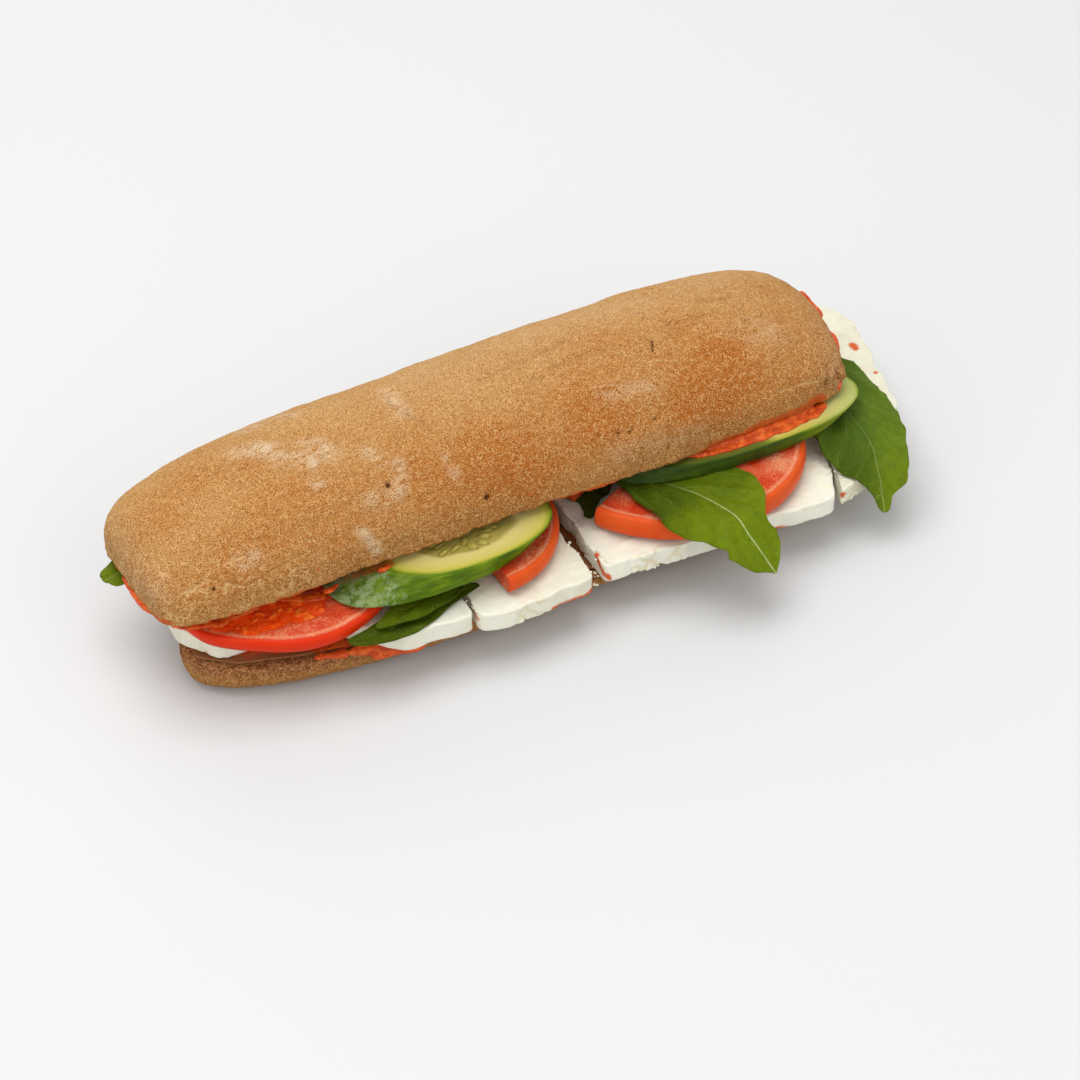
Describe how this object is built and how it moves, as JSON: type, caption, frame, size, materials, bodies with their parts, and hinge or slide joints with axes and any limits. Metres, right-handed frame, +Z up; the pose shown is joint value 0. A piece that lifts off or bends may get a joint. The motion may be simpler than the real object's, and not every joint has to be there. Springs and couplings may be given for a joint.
{
  "type": "feta sandwich",
  "caption": "Long wholemeal roll cut lengthwise and filled with slabs of feta, tomato slices, slanted cucumber slices, green leaves and red pepper spread.",
  "frame": {"origin": "middle of the underside of the box around the sandwich, on the flat base of its lower half", "axes": "+X along the roll, +Y towards its back, +Z up"},
  "size_m": [0.271, 0.1282, 0.0655],
  "materials": {
    "crust": "matte wholemeal crust with fine bran specks and a dusting of flour",
    "pepper_spread": "wet, coarse red pepper and tomato spread",
    "feta": "moist crumbly white cheese",
    "tomato": "wet red flesh and smooth red skin",
    "cucumber": "wet pale green flesh and dark green skin",
    "leaf": "thin green leaf with a soft sheen and pale veins"
  },
  "bodies": {
    "root": {"roll_top": "crust", "roll_bottom": "crust", "spread_top": "pepper_spread", "spread_bottom": "pepper_spread", "feta_1": "feta", "feta_2": "feta", "feta_3": "feta", "feta_4": "feta", "feta_5": "feta", "tomato_1": "tomato", "tomato_2": "tomato", "tomato_3": "tomato", "tomato_4": "tomato", "cucumber_1": "cucumber", "cucumber_2": "cucumber", "cucumber_3": "cucumber", "cucumber_4": "cucumber", "leaf_1": "leaf", "leaf_2": "leaf", "leaf_3": "leaf", "leaf_4": "leaf", "leaf_5": "leaf", "leaf_6": "leaf", "leaf_7": "leaf", "leaf_8": "leaf"}
  },
  "joints": []
}
